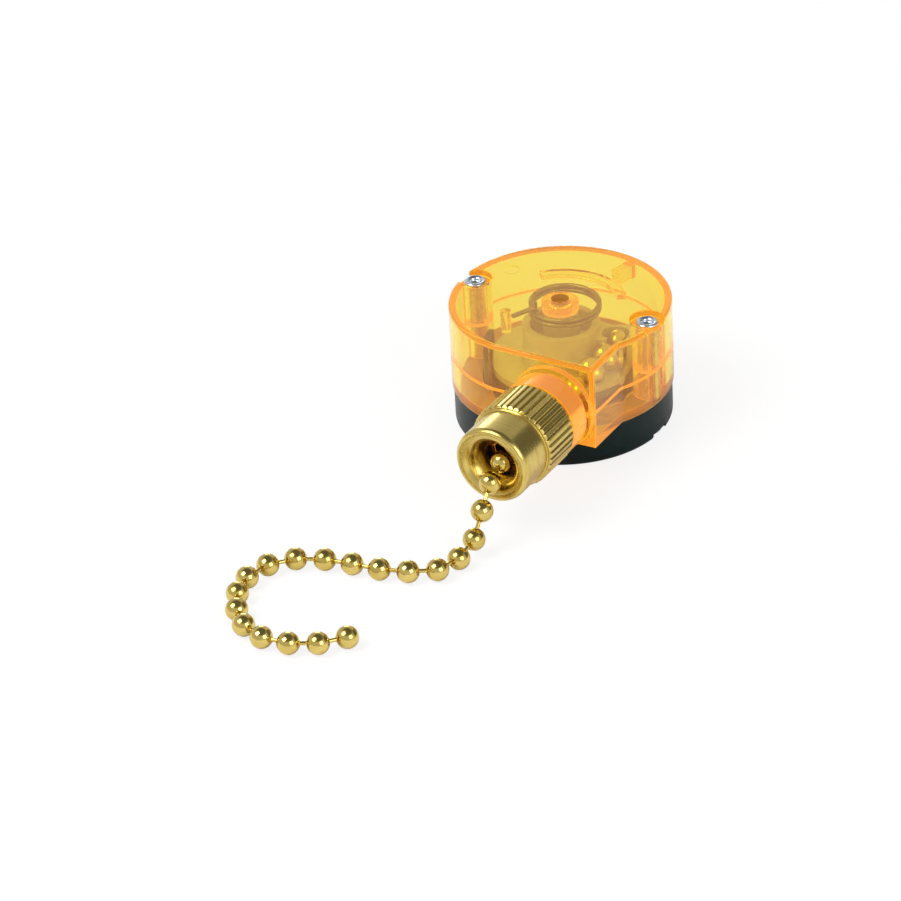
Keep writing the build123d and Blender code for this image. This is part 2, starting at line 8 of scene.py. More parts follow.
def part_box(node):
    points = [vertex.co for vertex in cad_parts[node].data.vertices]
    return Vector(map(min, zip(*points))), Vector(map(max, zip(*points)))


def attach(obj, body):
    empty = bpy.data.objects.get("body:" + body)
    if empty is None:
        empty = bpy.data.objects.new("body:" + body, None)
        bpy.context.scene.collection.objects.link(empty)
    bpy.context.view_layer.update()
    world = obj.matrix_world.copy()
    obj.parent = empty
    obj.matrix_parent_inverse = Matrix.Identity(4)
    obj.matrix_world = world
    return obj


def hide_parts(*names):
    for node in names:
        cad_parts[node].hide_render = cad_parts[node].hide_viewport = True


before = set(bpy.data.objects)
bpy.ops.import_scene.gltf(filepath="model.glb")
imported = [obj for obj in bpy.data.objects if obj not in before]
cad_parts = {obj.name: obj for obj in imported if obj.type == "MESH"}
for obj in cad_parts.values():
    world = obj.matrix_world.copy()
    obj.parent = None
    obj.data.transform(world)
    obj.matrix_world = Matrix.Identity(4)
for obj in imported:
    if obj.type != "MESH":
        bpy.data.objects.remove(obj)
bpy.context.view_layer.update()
MM = 0.001

# View: the photograph looks down on the switch from its front right, from far off with a long lens.
# Its frame is 901 pixels square, and the camera is turned a little round its own axis.
FRAME_PIXELS = 901
SENSOR_WIDTH = 36
NEAREST = 0.05
FARTHEST = 20
view_turn = math.radians(31.606)
view_height = math.radians(31.111)
view_roll = math.radians(-3.118)
view_distance = 636.9 * MM
view_offset_right = -16.79 * MM
view_offset_up = -4.944 * MM
focal_pixels = 4395.3

back = Vector((
    math.sin(view_turn) * math.cos(view_height),
    -math.cos(view_turn) * math.cos(view_height),
    math.sin(view_height),
))
right = Vector((math.cos(view_turn), math.sin(view_turn), 0))
up = back.cross(right)
turned_right = right * math.cos(view_roll) + up * math.sin(view_roll)
turned_up = up * math.cos(view_roll) - right * math.sin(view_roll)
camera_data = bpy.data.cameras.new("photo_view")
camera_data.sensor_width = SENSOR_WIDTH
camera_data.lens = focal_pixels / FRAME_PIXELS * SENSOR_WIDTH
camera_data.clip_start = NEAREST
camera_data.clip_end = FARTHEST
camera = bpy.data.objects.new("photo_view", camera_data)
camera.matrix_world = Matrix((turned_right, turned_up, back)).transposed().to_4x4()
camera.location = back * view_distance + right * view_offset_right + up * view_offset_up
bpy.context.scene.collection.objects.link(camera)
bpy.context.scene.camera = camera
bpy.context.scene.view_settings.view_transform = "Standard"

# Studio: a white floor in a white room, lit by soft lamps. The eye, and what it sees through the clear
# case, find them plain white. Polished metal finds a dark ceiling and a dark card at the back right as well.
FLOOR_HALF = 1.2
FLOOR_DROP = 0.02 * MM
FLOOR_WHITE = (0.93, 0.93, 0.93, 1)
FLOOR_GLOW = 0.82
WHITE = (1, 1, 1, 1)
ROOM_TO_THE_EYE = 1.0
ROOM_LIGHT = 0.62
ROOM_IN_METAL = 0.72
CARD_DIRECTION = (0.58, 0.73, 0.30)
CARD_EDGE = (0.88, 0.93)
CARD_LEVEL = 0.17
CEILING_EDGE = (0.60, 0.82)
CEILING_LEVEL = 0.16


def white_to_the_eye(tree):
    """1 for rays from the camera or through the clear case, 0 for rays that only light the object."""
    path = tree.nodes.new("ShaderNodeLightPath")
    either = tree.nodes.new("ShaderNodeMath")
    either.operation = "MAXIMUM"
    tree.links.new(path.outputs["Is Camera Ray"], either.inputs[0])
    tree.links.new(path.outputs["Is Transmission Ray"], either.inputs[1])
    return either.outputs[0]


floor_mesh = bpy.data.meshes.new("floor")
floor_mesh.from_pydata(
    [(x * FLOOR_HALF, y * FLOOR_HALF, -FLOOR_DROP) for x, y in ((-1, -1), (1, -1), (1, 1), (-1, 1))],
    [], [(0, 1, 2, 3)],
)
floor = bpy.data.objects.new("floor", floor_mesh)
bpy.context.scene.collection.objects.link(floor)
floor_paint = bpy.data.materials.new("white_floor")
floor_paint.use_nodes = True
nodes, links = floor_paint.node_tree.nodes, floor_paint.node_tree.links
nodes.clear()
paint = nodes.new("ShaderNodeBsdfDiffuse")
paint.inputs["Color"].default_value = FLOOR_WHITE
glow = nodes.new("ShaderNodeEmission")
glow.inputs["Color"].default_value = WHITE
plain = white_to_the_eye(floor_paint.node_tree)
share = nodes.new("ShaderNodeMath")
share.operation = "MULTIPLY"
share.inputs[1].default_value = FLOOR_GLOW
links.new(plain, share.inputs[0])
mix = nodes.new("ShaderNodeMixShader")
links.new(share.outputs[0], mix.inputs["Fac"])
links.new(paint.outputs[0], mix.inputs[1])
links.new(glow.outputs[0], mix.inputs[2])
out = nodes.new("ShaderNodeOutputMaterial")
links.new(mix.outputs[0], out.inputs["Surface"])
floor_mesh.materials.append(floor_paint)

world = bpy.data.worlds.new("studio")
bpy.context.scene.world = world
world.use_nodes = True
nodes, links = world.node_tree.nodes, world.node_tree.links
nodes.clear()
plain = white_to_the_eye(world.node_tree)
toward = nodes.new("ShaderNodeTexCoord")
facing_card = nodes.new("ShaderNodeVectorMath")
facing_card.operation = "DOT_PRODUCT"
facing_card.inputs[1].default_value = Vector(CARD_DIRECTION).normalized()
links.new(toward.outputs["Generated"], facing_card.inputs[0])
card = nodes.new("ShaderNodeMapRange")
card.interpolation_type = "SMOOTHSTEP"
card.inputs["From Min"].default_value = CARD_EDGE[0]
card.inputs["From Max"].default_value = CARD_EDGE[1]
card.inputs["To Min"].default_value = ROOM_IN_METAL
card.inputs["To Max"].default_value = CARD_LEVEL
links.new(facing_card.outputs["Value"], card.inputs["Value"])
axes = nodes.new("ShaderNodeSeparateXYZ")
links.new(toward.outputs["Generated"], axes.inputs[0])
ceiling = nodes.new("ShaderNodeMapRange")
ceiling.interpolation_type = "SMOOTHSTEP"
ceiling.inputs["From Min"].default_value = CEILING_EDGE[0]
ceiling.inputs["From Max"].default_value = CEILING_EDGE[1]
ceiling.inputs["To Min"].default_value = ROOM_IN_METAL
ceiling.inputs["To Max"].default_value = CEILING_LEVEL
links.new(axes.outputs["Z"], ceiling.inputs["Value"])
darker = nodes.new("ShaderNodeMath")
darker.operation = "MINIMUM"
links.new(card.outputs[0], darker.inputs[0])
links.new(ceiling.outputs[0], darker.inputs[1])
in_metal = nodes.new("ShaderNodeMapRange")
in_metal.inputs["To Min"].default_value = ROOM_LIGHT
links.new(darker.outputs[0], in_metal.inputs["To Max"])
rays = nodes.new("ShaderNodeLightPath")
links.new(rays.outputs["Is Glossy Ray"], in_metal.inputs["Value"])
level = nodes.new("ShaderNodeMapRange")
level.inputs["To Max"].default_value = ROOM_TO_THE_EYE
links.new(in_metal.outputs[0], level.inputs["To Min"])
links.new(plain, level.inputs["Value"])
room = nodes.new("ShaderNodeBackground")
room.inputs["Color"].default_value = WHITE
links.new(level.outputs[0], room.inputs["Strength"])
out = nodes.new("ShaderNodeOutputWorld")
links.new(room.outputs[0], out.inputs["Surface"])

CASE_MIDDLE = Vector((0, -0.01, 0.01))


def softbox(name, place, size, power):
    """A square lamp that faces the middle of the case."""
    lamp = bpy.data.lights.new(name, "AREA")
    lamp.shape = "SQUARE"
    lamp.size = size
    lamp.energy = power
    holder = bpy.data.objects.new(name, lamp)
    holder.location = place
    holder.rotation_mode = "QUATERNION"
    holder.rotation_quaternion = (Vector(place) - CASE_MIDDLE).to_track_quat("Z", "Y")
    bpy.context.scene.collection.objects.link(holder)


softbox("key_box", place=(-0.25, -0.35, 0.55), size=0.36, power=2.8)
softbox("fill_box", place=(0.55, -0.25, 0.30), size=0.34, power=1.5)
softbox("back_box", place=(-0.45, 0.62, 0.14), size=0.24, power=0.7)


# Cover: the upper half of the case, an injection moulding in clear amber polycarbonate, polished in its tool.
# It has the hub boss and ribs under its roof and the upper half of the neck, and the rivets hold it.
AMBER_TINT = (1.0, 0.93, 0.66, 1)
AMBER_CLEAR = 0.97
AMBER_IOR = 1.47
AMBER_GLOSS = 0.35
AMBER_SHINE = (1.0, 0.76, 0.38, 1)
AMBER_ROUGHNESS = 0.03
AMBER_MATT_TINT = (1.0, 0.48, 0.04, 1)
AMBER_MATT_CLEAR = 0.82
AMBER_MATT_SHINE = (1.0, 0.50, 0.08, 1)
AMBER_MATT_ROUGHNESS = 0.35
# Painted glow: orange light given off by the matt faces of the amber
AMBER_MATT_GLOW_COLOR = (1.0, 0.36, 0.03, 1)
AMBER_MATT_GLOW = 0.42
# Painted shade: dark opaque amber for the faces inside the nut's bore and in the pin hole
AMBER_SHADED = (0.03, 0.012, 0.004, 1)
AMBER_DEPTH_COLOR = (0.74, 0.855, 0.0, 1)
AMBER_DEPTH = 760
# Painted glow: the amber's volume gives off orange light of its own, more where more amber is looked through
AMBER_GLOW_COLOR = (1.0, 0.22, 0.02, 1)
AMBER_GLOW = 185
FLOW_SIZE = 260
FLOW_STRENGTH = 0.05
HUB_RADIUS = 3.0 * MM
# Share of the matt finish and its painted glow on the hub, the collar, the seam and at foot level
HUB_MATT_AND_PAINTED_GLOW = 0.6
COLLAR_MATT_AND_PAINTED_GLOW = 0.5
SEAM_MATT_AND_PAINTED_GLOW = 0.5
FOOT_LEVEL = 5.83 * MM
FOOT_MATT_AND_PAINTED_GLOW = 0.7
LEVEL_REACH = 0.05 * MM
PIN_HOLE_RADIUS = 1.5 * MM
PIN_HOLE_SHADE = 0.85
CASE_EDGE = 0.06 * MM
CASE_WELD = CASE_EDGE / 8
SLIM_FACE = CASE_EDGE * 3
EDGE_SEGMENTS = 2
HARD_ANGLE = math.radians(32)
FLAT_ANGLE = math.radians(0.5)
WELD_REACH = 0.0004 * MM

# Cosines of the turn within which a face still looks along a direction, fully or about halfway
FACING = 0.9
HALF_FACING = 0.5


def dressed_solid(node, name, crease, edge=0):
    """The CAD solid's own form as one welded mesh, with fine rounded edges and smooth curved faces."""
    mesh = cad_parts[node].data.copy()
    mesh.name = name
    mesh.materials.clear()
    piece = bpy.data.objects.new(name, mesh)
    bpy.context.scene.collection.objects.link(piece)
    work = bmesh.new()
    work.from_mesh(mesh)
    bmesh.ops.remove_doubles(work, verts=work.verts, dist=WELD_REACH)
    bmesh.ops.dissolve_limit(
        work, angle_limit=FLAT_ANGLE, verts=work.verts, edges=work.edges, use_dissolve_boundaries=False
    )
    work.to_mesh(mesh)
    work.free()
    mesh.shade_smooth()
    mesh.set_sharp_from_angle(angle=crease)
    if edge:
        bevel = piece.modifiers.new("fine_edges", "BEVEL")
        bevel.width = edge
        bevel.segments = EDGE_SEGMENTS
        bevel.limit_method = "ANGLE"
        bevel.angle_limit = crease
        bevel.use_clamp_overlap = True
    flats = piece.modifiers.new("true_flats", "WEIGHTED_NORMAL")
    flats.keep_sharp = True
    return piece


def effect_group(name, inputs, outputs):
    """An empty shader node group with plain number inputs, and outputs of the given kinds."""
    group = bpy.data.node_groups.new(name, "ShaderNodeTree")
    for socket, value in inputs.items():
        entry = group.interface.new_socket(socket, in_out="INPUT", socket_type="NodeSocketFloat")
        entry.default_value = value
    for socket, kind in outputs.items():
        group.interface.new_socket(socket, in_out="OUTPUT", socket_type=kind)
    start = group.nodes.new("NodeGroupInput")
    end = group.nodes.new("NodeGroupOutput")
    return group, start, end


# Uneven skin: soft swells and fine grain of a moulded or worked surface, as a mask and a normal
uneven_skin, start, end = effect_group(
    "uneven_skin",
    {"Size": 200, "Detail": 3, "Along Y": 1, "Strength": 0.1, "Height": 0.00005},
    {"Mask": "NodeSocketFloat", "Normal": "NodeSocketVector"},
)
nodes, links = uneven_skin.nodes, uneven_skin.links
place = nodes.new("ShaderNodeTexCoord")
stretch = nodes.new("ShaderNodeCombineXYZ")
stretch.inputs["X"].default_value = 1
stretch.inputs["Z"].default_value = 1
links.new(start.outputs["Along Y"], stretch.inputs["Y"])
scaled = nodes.new("ShaderNodeVectorMath")
scaled.operation = "MULTIPLY"
links.new(place.outputs["Object"], scaled.inputs[0])
links.new(stretch.outputs[0], scaled.inputs[1])
swell = nodes.new("ShaderNodeTexNoise")
links.new(scaled.outputs[0], swell.inputs["Vector"])
links.new(start.outputs["Size"], swell.inputs["Scale"])
links.new(start.outputs["Detail"], swell.inputs["Detail"])
bump = nodes.new("ShaderNodeBump")
links.new(start.outputs["Strength"], bump.inputs["Strength"])
links.new(start.outputs["Height"], bump.inputs["Distance"])
links.new(swell.outputs["Fac"], bump.inputs["Height"])
links.new(swell.outputs["Fac"], end.inputs["Mask"])
links.new(bump.outputs[0], end.inputs["Normal"])


amber = bpy.data.materials.new("amber_polycarbonate")
amber.use_nodes = True
nodes, links = amber.node_tree.nodes, amber.node_tree.links
shader = nodes["Principled BSDF"]
shader.inputs["Base Color"].default_value = AMBER_TINT
shader.inputs["Transmission Weight"].default_value = AMBER_CLEAR
shader.inputs["IOR"].default_value = AMBER_IOR
shader.inputs["Specular IOR Level"].default_value = AMBER_GLOSS
shader.inputs["Specular Tint"].default_value = AMBER_SHINE
shader.inputs["Roughness"].default_value = AMBER_ROUGHNESS
shader.inputs["Emission Color"].default_value = AMBER_MATT_GLOW_COLOR
shader.inputs["Emission Strength"].default_value = 0


def masked(attribute, socket, where):
    """Gives a socket another value where the mesh attribute is 1, over the one it has on plain skin."""
    mask = nodes.new("ShaderNodeAttribute")
    mask.attribute_name = attribute
    choice = nodes.new("ShaderNodeMix")
    choice.data_type = "RGBA" if socket.type == "RGBA" else "FLOAT"
    if socket.is_linked:
        links.new(socket.links[0].from_socket, choice.inputs["A"])
    else:
        choice.inputs["A"].default_value = socket.default_value
    choice.inputs["B"].default_value = where
    links.new(mask.outputs["Fac"], choice.inputs["Factor"])
    links.new(choice.outputs["Result"], socket)


masked("matt", shader.inputs["Base Color"], AMBER_MATT_TINT)
masked("matt", shader.inputs["Specular Tint"], AMBER_MATT_SHINE)
masked("matt", shader.inputs["Transmission Weight"], AMBER_MATT_CLEAR)
masked("matt", shader.inputs["Roughness"], AMBER_MATT_ROUGHNESS)
# Painted glow: the matt faces give off orange light of their own
masked("matt", shader.inputs["Emission Strength"], AMBER_MATT_GLOW)
# Painted shade: dark, opaque faces where the amber lies in a bore
masked("hidden", shader.inputs["Base Color"], AMBER_SHADED)
masked("hidden", shader.inputs["Transmission Weight"], 0)
depth = nodes.new("ShaderNodeVolumeAbsorption")
depth.inputs["Color"].default_value = AMBER_DEPTH_COLOR
depth.inputs["Density"].default_value = AMBER_DEPTH
# Painted glow: orange light given off inside the amber, added to its absorption
painted_volume_glow = nodes.new("ShaderNodeEmission")
painted_volume_glow.inputs["Color"].default_value = AMBER_GLOW_COLOR
painted_volume_glow.inputs["Strength"].default_value = AMBER_GLOW
dye_and_painted_glow = nodes.new("ShaderNodeAddShader")
links.new(depth.outputs[0], dye_and_painted_glow.inputs[0])
links.new(painted_volume_glow.outputs[0], dye_and_painted_glow.inputs[1])
links.new(dye_and_painted_glow.outputs[0], nodes["Material Output"].inputs["Volume"])
flow = nodes.new("ShaderNodeGroup")
flow.node_tree = uneven_skin
flow.inputs["Size"].default_value = FLOW_SIZE
flow.inputs["Strength"].default_value = FLOW_STRENGTH
links.new(flow.outputs["Normal"], shader.inputs["Normal"])

nut_low, nut_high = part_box("bell_nut")
neck_middle = Vector(((nut_low[0] + nut_high[0]) / 2, 0, (nut_low[2] + nut_high[2]) / 2))
case_front = min(vert.co.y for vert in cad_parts["base"].data.vertices)
cover_low, cover_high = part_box("top_cover")
roof, seam_level = cover_high[2], cover_low[2]


def amber_shell(node, name):
    """Half of the case with rounded edges. Its faces are marked where they are matt with a painted glow, or
    where a bore gets painted shade.
    """
    shell = dressed_solid(node, name, HARD_ANGLE)
    work = bmesh.new()
    work.from_mesh(shell.data)
    bmesh.ops.remove_doubles(work, verts=work.verts, dist=CASE_WELD)
    hidden = work.faces.layers.float.new("hidden")
    matt = work.faces.layers.float.new("matt")
    for face in work.faces:
        middle = face.calc_center_median()
        from_neck = middle - neck_middle
        from_neck.y = 0
        outward = face.normal.dot(from_neck) > from_neck.length * HALF_FACING
        # Painted shade on the neck's faces inside the nut that do not face outward
        face[hidden] = float(middle.y < nut_high[1] and not outward)
        reach = max(math.hypot(vert.co.x, vert.co.y) for vert in face.verts)
        # Matt faces with a painted glow: the hub boss, the outside of the collar, the seam and at foot level
        if reach < HUB_RADIUS and middle.z < roof - CASE_EDGE:
            face[matt] = HUB_MATT_AND_PAINTED_GLOW
        elif outward and nut_high[1] < middle.y < case_front:
            face[matt] = COLLAR_MATT_AND_PAINTED_GLOW
        elif abs(face.normal.z) > FACING and abs(middle.z - seam_level) < LEVEL_REACH:
            face[matt] = SEAM_MATT_AND_PAINTED_GLOW
        elif face.normal.z < -FACING and abs(middle.z - FOOT_LEVEL) < LEVEL_REACH:
            face[matt] = FOOT_MATT_AND_PAINTED_GLOW
        # Painted shade darkens the walls of the pin hole
        if reach < PIN_HOLE_RADIUS and abs(face.normal.z) < HALF_FACING:
            face[hidden] = PIN_HOLE_SHADE
    slim = {
        face for face in work.faces
        if face.calc_area() < SLIM_FACE * max(edge.calc_length() for edge in face.edges)
    }
    edges = [
        edge for edge in work.edges
        if edge.calc_face_angle(0) > HARD_ANGLE and slim.isdisjoint(edge.link_faces)
    ]
    rounded = bmesh.ops.bevel(
        work, geom=edges, offset=CASE_EDGE, segments=EDGE_SEGMENTS, profile=0.5, affect="EDGES",
        clamp_overlap=False,
    )
    # The rounded edges are fully matt and get the full painted glow
    for face in rounded["faces"]:
        face[matt] = 1
    work.to_mesh(shell.data)
    work.free()
    shell.data.shade_smooth()
    shell.data.set_sharp_from_angle(angle=HARD_ANGLE)
    shell.data.materials.append(amber)
    return shell


cover = amber_shell("top_cover", "cover_moulding")
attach(cover, "housing")
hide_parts("top_cover")


# Body: the lower half of the case, an injection moulding in the same amber polycarbonate as the cover.
# It has the floor under the squared corner and the lower half of the neck, and stands on the base.
body = amber_shell("middle_body", "body_moulding")
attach(body, "housing")
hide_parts("middle_body")


# Base: one black thermoplastic moulding, satin from its tool, with four wire holes underneath.
# Its spigot enters the amber body and the rivets pull it up against it.
BASE_EDGE = 0.12 * MM
BASE_BLACK = (0.0015, 0.0045, 0.005, 1)
BASE_SHEEN = (0.003, 0.008, 0.009, 1)
BASE_GLOSS = 0.22
BASE_SHINE = (0.60, 1.0, 1.0, 1)
MASK_FOR_ROUGHNESS = (0.3, 0.7)
MASK_FOR_COLOR = (0.35, 0.7)


def finish(name, color, other, metallic, skin, roughness):
    """A material with uneven skin, whose roughness and colour drift between two values with the skin."""
    material = bpy.data.materials.new(name)
    material.use_nodes = True
    nodes, links = material.node_tree.nodes, material.node_tree.links
    shader = nodes["Principled BSDF"]
    shader.inputs["Metallic"].default_value = metallic
    group = nodes.new("ShaderNodeGroup")
    group.node_tree = uneven_skin
    for socket, value in skin.items():
        group.inputs[socket].default_value = value
    links.new(group.outputs["Normal"], shader.inputs["Normal"])
    spread = nodes.new("ShaderNodeMapRange")
    spread.inputs["From Min"].default_value = MASK_FOR_ROUGHNESS[0]
    spread.inputs["From Max"].default_value = MASK_FOR_ROUGHNESS[1]
    spread.inputs["To Min"].default_value = roughness[0]
    spread.inputs["To Max"].default_value = roughness[1]
    links.new(group.outputs["Mask"], spread.inputs["Value"])
    links.new(spread.outputs[0], shader.inputs["Roughness"])
    drift = nodes.new("ShaderNodeMapRange")
    drift.inputs["From Min"].default_value = MASK_FOR_COLOR[0]
    drift.inputs["From Max"].default_value = MASK_FOR_COLOR[1]
    links.new(group.outputs["Mask"], drift.inputs["Value"])
    blend = nodes.new("ShaderNodeMix")
    blend.data_type = "RGBA"
    blend.inputs["A"].default_value = color
    blend.inputs["B"].default_value = other
    links.new(drift.outputs[0], blend.inputs["Factor"])
    links.new(blend.outputs["Result"], shader.inputs["Base Color"])
    return material


black = finish(
    "black_moulding", BASE_BLACK, BASE_SHEEN, metallic=0,
    skin={"Size": 900, "Detail": 4, "Strength": 0.12, "Height": 0.00002}, roughness=(0.30, 0.40),
)
shader = black.node_tree.nodes["Principled BSDF"]
shader.inputs["Specular IOR Level"].default_value = BASE_GLOSS
shader.inputs["Specular Tint"].default_value = BASE_SHINE
base = dressed_solid("base", "base_moulding", HARD_ANGLE, BASE_EDGE)
base.data.materials.append(black)
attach(base, "housing")
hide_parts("base")


# Bell nut: turned brass, its knurl rolled in straight grooves and its bell mouth polished.
# Its thread, in the bore behind the web, screws on the stub of the neck.
NUT_KNURL_RADIUS = 6.25 * MM
NUT_BARREL_RADIUS = 5.65 * MM
NUT_LIP_RADIUS = 5.0 * MM
NUT_LIP_DEPTH = 0.8 * MM
NUT_THREAD_RADIUS = 4.75 * MM
NUT_THROAT_RADIUS = 2.5 * MM
NUT_THROAT_LENGTH = 1.0 * MM
NUT_WEB_BACK = 7.6 * MM
NUT_KNURL_LENGTH = 6.8 * MM
NUT_CHAMFER = 0.4 * MM
NUT_FRONT_CHAMFER = 0.26 * MM
NUT_SIDE_CHAMFER = 0.12 * MM
NUT_COLUMNS = 480
NUT_RIDGES = 40
NUT_GROOVE_DEPTH = 0.26 * MM
NUT_GROOVE_SHARE = 0.42
NUT_FUNNEL_PULL = 0.39
NUT_HARD_ANGLE = math.radians(25)
CURVE_STEPS = 24
BRASS = (0.64, 0.49, 0.15, 1)
BRASS_DEEP = (0.54, 0.40, 0.10, 1)


def steps(start, end, count):
    """Evenly spaced points between two points, the end left out."""
    return [Vector(start).lerp(Vector(end), index / count) for index in range(count)]


def bezier(start, pull_start, pull_end, end, count):
    """Points on a cubic curve, its end left out."""
    points = []
    for index in range(count):
        t = index / count
        s = 1 - t
        points.append(
            Vector(start) * s**3 + Vector(pull_start) * 3 * s * s * t
            + Vector(pull_end) * 3 * s * t * t + Vector(end) * t**3
        )
    return points


def lathe(name, outline, columns, closed):
    """A turned mesh round Z from points of radius and height. A radius of nought closes in a pole."""
    mesh = bpy.data.meshes.new(name)
    work = bmesh.new()
    rings = []
    for radius, height in outline:
        if radius < WELD_REACH:
            rings.append([work.verts.new((0, 0, height))])
            continue
        ring = []
        for column in range(columns):
            angle = 2 * math.pi * column / columns
            ring.append(work.verts.new((radius * math.cos(angle), radius * math.sin(angle), height)))
        rings.append(ring)
    pairs = list(zip(rings, rings[1:]))
    if closed:
        pairs.append((rings[-1], rings[0]))
    for low, high in pairs:
        for column in range(columns):
            following = (column + 1) % columns
            corners = [low[column % len(low)], low[following % len(low)]]
            corners += [high[following % len(high)], high[column % len(high)]]
            corners = list(dict.fromkeys(corners))
            if len(corners) > 2:
                work.faces.new(corners)
    bmesh.ops.recalc_face_normals(work, faces=work.faces)
    work.to_mesh(mesh)
    work.free()
    mesh.shade_smooth()
    return mesh


def plain_mesh(piece):
    """Bakes the piece's Geometry Nodes into a plain mesh and removes the modifier."""
    graph = bpy.context.evaluated_depsgraph_get()
    mesh = bpy.data.meshes.new_from_object(piece.evaluated_get(graph))
    mesh.name = piece.name
    piece.modifiers.clear()
    piece.data = mesh


def node_tree(name, inputs):
    """A Geometry Nodes tree with a geometry input and output and named inputs, and its two end nodes."""
    tree = bpy.data.node_groups.new(name, "GeometryNodeTree")
    tree.interface.new_socket("Geometry", in_out="OUTPUT", socket_type="NodeSocketGeometry")
    tree.interface.new_socket("Geometry", in_out="INPUT", socket_type="NodeSocketGeometry")
    sockets = {}
    for socket, kind in inputs.items():
        sockets[socket] = tree.interface.new_socket(socket, in_out="INPUT", socket_type=kind).identifier
    return tree, sockets, tree.nodes.new("NodeGroupInput"), tree.nodes.new("NodeGroupOutput")


def math_node(tree, operation, first, second=None):
    """The output of a new Math node that works on sockets or numbers."""
    node = tree.nodes.new("ShaderNodeMath")
    node.operation = operation
    for value, socket in ((first, node.inputs[0]), (second, node.inputs[1])):
        if isinstance(value, bpy.types.NodeSocket):
            tree.links.new(value, socket)
        elif value is not None:
            socket.default_value = value
    return node.outputs[0]


nut_length = nut_high[1] - nut_low[1]
throat_front = NUT_WEB_BACK + NUT_THROAT_LENGTH
lip_back = nut_length - NUT_LIP_DEPTH
funnel_pull = (nut_length - throat_front) * NUT_FUNNEL_PULL
nut_corners = (  # radius, height, and the steps to the next corner
    (NUT_KNURL_RADIUS - NUT_CHAMFER, 0, 6),
    (NUT_KNURL_RADIUS, NUT_CHAMFER, 6),
    (NUT_KNURL_RADIUS, NUT_KNURL_LENGTH - NUT_FRONT_CHAMFER, 5),
    (NUT_KNURL_RADIUS - NUT_FRONT_CHAMFER, NUT_KNURL_LENGTH, 3),
    (NUT_BARREL_RADIUS + NUT_SIDE_CHAMFER, NUT_KNURL_LENGTH, 3),
    (NUT_BARREL_RADIUS, NUT_KNURL_LENGTH + NUT_SIDE_CHAMFER, 4),
    (NUT_BARREL_RADIUS, lip_back, 1),
)
nut_outline = [Vector((NUT_THREAD_RADIUS, 0))]
for (*corner, count), (*following, _) in zip(nut_corners, nut_corners[1:]):
    nut_outline += steps(corner, following, count)
for index in range(CURVE_STEPS):
    turn = math.pi / 2 * index / CURVE_STEPS
    nut_outline.append(Vector((
        NUT_LIP_RADIUS + (NUT_BARREL_RADIUS - NUT_LIP_RADIUS) * math.cos(turn),
        lip_back + NUT_LIP_DEPTH * math.sin(turn),
    )))
nut_outline += bezier(
    (NUT_LIP_RADIUS, nut_length), (NUT_LIP_RADIUS - funnel_pull, nut_length),
    (NUT_THROAT_RADIUS, throat_front + funnel_pull), (NUT_THROAT_RADIUS, throat_front), CURVE_STEPS,
)
nut_outline += steps((NUT_THROAT_RADIUS, throat_front), (NUT_THROAT_RADIUS, NUT_WEB_BACK), 2)
nut_outline += [Vector((NUT_THROAT_RADIUS, NUT_WEB_BACK)), Vector((NUT_THREAD_RADIUS, NUT_WEB_BACK))]
nut_mesh = lathe("bell_mouth_nut", nut_outline, NUT_COLUMNS, True)
nut = bpy.data.objects.new("bell_mouth_nut", nut_mesh)
bpy.context.scene.collection.objects.link(nut)

# The knurl: each point outside a groove's floor is drawn in to it, in grooves with flat lands between
tree, sockets, start, end = node_tree("straight_knurl", {
    "Ridges": "NodeSocketInt",
    "Knurl Radius": "NodeSocketFloat",
    "Groove Depth": "NodeSocketFloat",
    "Groove Share": "NodeSocketFloat",
    "Metal": "NodeSocketMaterial",
})
place = tree.nodes.new("GeometryNodeInputPosition")
axes = tree.nodes.new("ShaderNodeSeparateXYZ")
tree.links.new(place.outputs[0], axes.inputs[0])
angle = math_node(tree, "ARCTAN2", axes.outputs["Y"], axes.outputs["X"])
around = math_node(tree, "DIVIDE", angle, 2 * math.pi)
ridge_run = math_node(tree, "FRACT", math_node(tree, "MULTIPLY", around, start.outputs["Ridges"]))
from_middle = math_node(tree, "ABSOLUTE", math_node(tree, "SUBTRACT", ridge_run, 0.5))
off_groove = math_node(tree, "MULTIPLY", from_middle, 2)
groove = tree.nodes.new("ShaderNodeMapRange")
tree.links.new(off_groove, groove.inputs["Value"])
tree.links.new(start.outputs["Groove Share"], groove.inputs["From Max"])
tree.links.new(start.outputs["Groove Depth"], groove.inputs["To Min"])
groove.inputs["To Max"].default_value = 0
floor_radius = math_node(tree, "SUBTRACT", start.outputs["Knurl Radius"], groove.outputs[0])
radius = math_node(tree, "SQRT", math_node(
    tree, "ADD",
    math_node(tree, "MULTIPLY", axes.outputs["X"], axes.outputs["X"]),
    math_node(tree, "MULTIPLY", axes.outputs["Y"], axes.outputs["Y"]),
))
factor = math_node(tree, "DIVIDE", math_node(tree, "MINIMUM", radius, floor_radius), radius)
drawn_in = tree.nodes.new("ShaderNodeCombineXYZ")
tree.links.new(math_node(tree, "MULTIPLY", axes.outputs["X"], factor), drawn_in.inputs["X"])
tree.links.new(math_node(tree, "MULTIPLY", axes.outputs["Y"], factor), drawn_in.inputs["Y"])
tree.links.new(axes.outputs["Z"], drawn_in.inputs["Z"])
moved = tree.nodes.new("GeometryNodeSetPosition")
tree.links.new(start.outputs["Geometry"], moved.inputs["Geometry"])
tree.links.new(drawn_in.outputs[0], moved.inputs["Position"])
whole = tree.nodes.new("GeometryNodeRealizeInstances")
tree.links.new(moved.outputs[0], whole.inputs[0])
dress = tree.nodes.new("GeometryNodeSetMaterial")
tree.links.new(whole.outputs[0], dress.inputs["Geometry"])
tree.links.new(start.outputs["Metal"], dress.inputs["Material"])
tree.links.new(dress.outputs[0], end.inputs["Geometry"])

